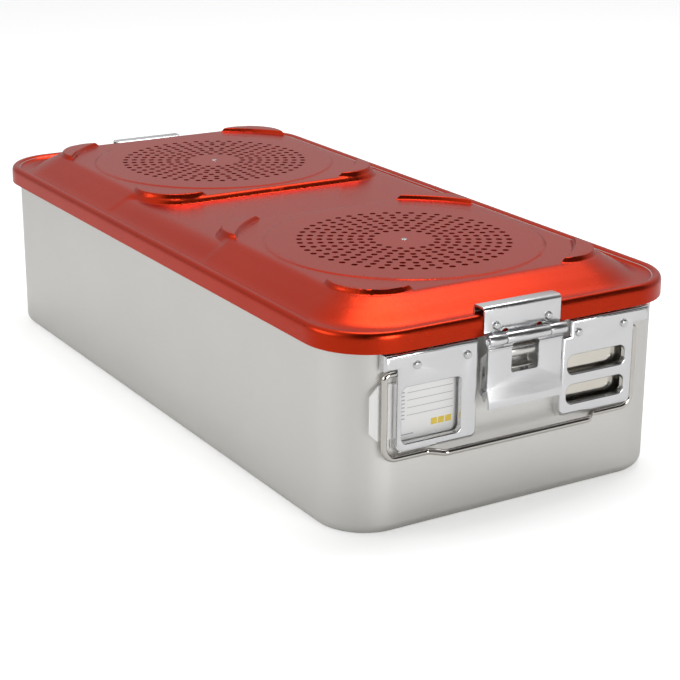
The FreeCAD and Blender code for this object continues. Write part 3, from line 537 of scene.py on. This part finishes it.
def make_card():
    """White card with plain lines, ticks and three plain blocks, in millimetres."""
    dressed_copy("label_card_front", "base", "label_card", CARD_WHITE, bevel=0.1 * mm)
    lines = [(-89, -53, z, z + 0.35) for z in (98, 92.8, 87.6, 82.4)]
    ticks = [(-93.5, -91, z, z + 0.8) for z in (98.4, 95.8, 93.2, 90.6, 88, 85.4, 82.8, 80.2)]
    foot = [(-93.5, -84, 69.2, 69.9)]
    card_marks("card_lines", lines + ticks + foot, PRINT_GREY)
    bars = [(low_y, high_y, 72.5, 77) for low_y, high_y in ((-70, -65.2), (-64.4, -59.6), (-58.8, -54))]
    card_marks("card_bars", bars, PRINT_YELLOW)


def make_end(end, side):
    """Every piece of one end: its solid's stem, body, slot, finish and edge softening in millimetres."""
    base, lid, latch, retainer = "base", "lid", f"latch_{end}", f"retainer_{end}"
    pieces = (
        ("lid_clip", lid, "satin_sheet", SHEET_SATIN, 0.4),
        ("latch_flap", latch, "satin_sheet", SHEET_SATIN, 0.4),
        ("label_plate", base, "satin_sheet", SHEET_SATIN, 0.5),
        ("slotted_plate", base, "satin_sheet", SHEET_SATIN, 0.5),
        ("latch_catch", base, "catch_steel", CATCH_STEEL, 0.3),
        ("backing_sheet", base, "bright_steel", MIRROR_STEEL, 0.15),
        ("hinge_pin", lid, "rivet_steel", RIVET_BRIGHT, 0.3),
        ("latch_studs", latch, "rivet_steel", RIVET_BRIGHT, 0.2),
        ("clip_rivets", lid, "rivet_steel", RIVET_BRIGHT, 0),
        ("plate_rivets", base, "rivet_steel", RIVET_BRIGHT, 0),
        ("catch_rivets", base, "rivet_steel", RIVET_BRIGHT, 0),
        ("filter_stud", lid, "rivet_steel", RIVET_BRIGHT, 0),
        ("filter_disc", retainer, "filter_paper", PAPER, 0),
        ("filter_seal", retainer, "silicone", SILICONE, 0.1),
        ("filter_retainer", retainer, "retainer_aluminium", RETAINER_SATIN, 0.2),
        ("retainer_hub", retainer, "hub_plastic", HUB_BLACK, 0.4),
    )
    for stem, body, slot, material, bevel in pieces:
        dressed_copy(f"{stem}_{end}", body, slot, material, bevel * mm)
    make_bail(end, side)


make_tub()
make_lid()
dressed_copy("lid_gasket", "lid", "silicone", SILICONE, 0.3 * mm)
for end, side in ENDS.items():
    make_end(end, side)
make_card()


# Stage, light and camera

def make_floor():
    """Pale floor whose glow, seen by the camera alone, lifts it to white."""
    reflected_grey, seen_grey, seen_glow = 0.86, 0.82, 0.46
    deselect()
    bpy.ops.mesh.primitive_plane_add(size=14, location=(0, 0, 0))
    floor = named("floor")
    material, nodes, links, shader = new_material("floor")
    shader.inputs["Roughness"].default_value = 0.9
    light_path = nodes.new("ShaderNodeLightPath")
    seen = nodes.new("ShaderNodeMapRange")
    seen.inputs["To Min"].default_value = reflected_grey
    seen.inputs["To Max"].default_value = seen_grey
    links.new(light_path.outputs["Is Camera Ray"], seen.inputs["Value"])
    links.new(seen.outputs["Result"], shader.inputs["Base Color"])
    glow = nodes.new("ShaderNodeMath")
    glow.operation = "MULTIPLY"
    glow.inputs[1].default_value = seen_glow
    links.new(light_path.outputs["Is Camera Ray"], glow.inputs[0])
    shader.inputs["Emission Color"].default_value = (1, 1, 1, 1)
    links.new(glow.outputs["Value"], shader.inputs["Emission Strength"])
    floor.data.materials.append(material)


def make_world():
    """White behind the object; round it a pale room, brighter overhead, dark on the viewer's side."""
    low_grey, high_grey = (0.0, 0.42), (0.95, 0.9)
    viewer_side, dark_from, dark_full, darkest = (0.85, 0.05, 0.52), 0.35, 0.75, 0.06
    world = bpy.data.worlds.new("studio")
    bpy.context.scene.world = world
    world.use_nodes = True
    nodes, links = world.node_tree.nodes, world.node_tree.links
    place = nodes.new("ShaderNodeTexCoord")
    split = nodes.new("ShaderNodeSeparateXYZ")
    links.new(place.outputs["Generated"], split.inputs["Vector"])
    height = nodes.new("ShaderNodeValToRGB")
    for element, (position, grey) in zip(height.color_ramp.elements, (low_grey, high_grey)):
        element.position = position
        element.color = (grey, grey, grey, 1)
    links.new(split.outputs["Z"], height.inputs["Fac"])
    toward = nodes.new("ShaderNodeVectorMath")
    toward.operation = "DOT_PRODUCT"
    toward.inputs[1].default_value = viewer_side
    links.new(place.outputs["Generated"], toward.inputs[0])
    band = nodes.new("ShaderNodeMapRange")
    band.interpolation_type = "SMOOTHSTEP"
    band.inputs["From Min"].default_value = dark_from
    band.inputs["From Max"].default_value = dark_full
    band.inputs["To Min"].default_value = 1.0
    band.inputs["To Max"].default_value = darkest
    links.new(toward.outputs["Value"], band.inputs["Value"])
    room = nodes.new("ShaderNodeMix")
    room.data_type = "RGBA"
    room.blend_type = "MULTIPLY"
    room.inputs["Factor"].default_value = 1.0
    links.new(height.outputs["Color"], room.inputs["A"])
    links.new(band.outputs["Result"], room.inputs["B"])
    light_path = nodes.new("ShaderNodeLightPath")
    mix = nodes.new("ShaderNodeMix")
    mix.data_type = "RGBA"
    mix.inputs["B"].default_value = (1, 1, 1, 1)
    links.new(light_path.outputs["Is Camera Ray"], mix.inputs["Factor"])
    links.new(room.outputs["Result"], mix.inputs["A"])
    links.new(mix.outputs["Result"], nodes["Background"].inputs["Color"])


def add_softbox(name, place, aim, size, watts):
    """Flat rectangular lamp at a place, facing what it is aimed at."""
    light = bpy.data.lights.new(name, "AREA")
    light.shape = "RECTANGLE"
    light.size, light.size_y = size
    light.energy = watts
    lamp = bpy.data.objects.new(name, light)
    lamp.location = place
    lamp.rotation_euler = (Vector(aim) - Vector(place)).to_track_quat("-Z", "Y").to_euler()
    bpy.context.collection.objects.link(lamp)


def make_camera():
    """Camera fitted to the photograph: its angles, distance, slight roll and focal length."""
    azimuth, elevation, roll = (math.radians(angle) for angle in (58.5, 18.66, 0.38))
    aim, away = Vector((0.11794, -0.03504, 0.075)), 1.30273
    photo_focal, photo_width = 1747.44, 680
    back = Vector((math.sin(azimuth) * math.cos(elevation), -math.cos(azimuth) * math.cos(elevation),
                   math.sin(elevation)))
    right = Vector((math.cos(azimuth), math.sin(azimuth), 0))
    up = back.cross(right)
    across = right * math.cos(roll) + up * math.sin(roll)
    upward = up * math.cos(roll) - right * math.sin(roll)
    data = bpy.data.cameras.new("camera")
    data.sensor_width = 36
    data.lens = data.sensor_width * photo_focal / photo_width
    data.clip_end = 30
    camera = bpy.data.objects.new("camera", data)
    turn = Matrix((across, upward, back)).transposed()
    camera.matrix_world = Matrix.LocRotScale(aim + back * away, turn, None)
    bpy.context.collection.objects.link(camera)
    bpy.context.scene.camera = camera


bpy.context.scene.view_settings.view_transform = "Standard"
make_floor()
make_world()
add_softbox("ceiling box", (-0.1, 0.5, 2.0), (-0.1, 0.5, 0), (0.9, 1.6), 17)
add_softbox("side box", (-0.4, -2.2, 0.9), (0, 0, 0.1), (1.6, 0.8), 12)
add_softbox("front box", (2.3, 0.2, 0.45), (0.3, 0, 0.08), (0.8, 0.5), 16)
make_camera()
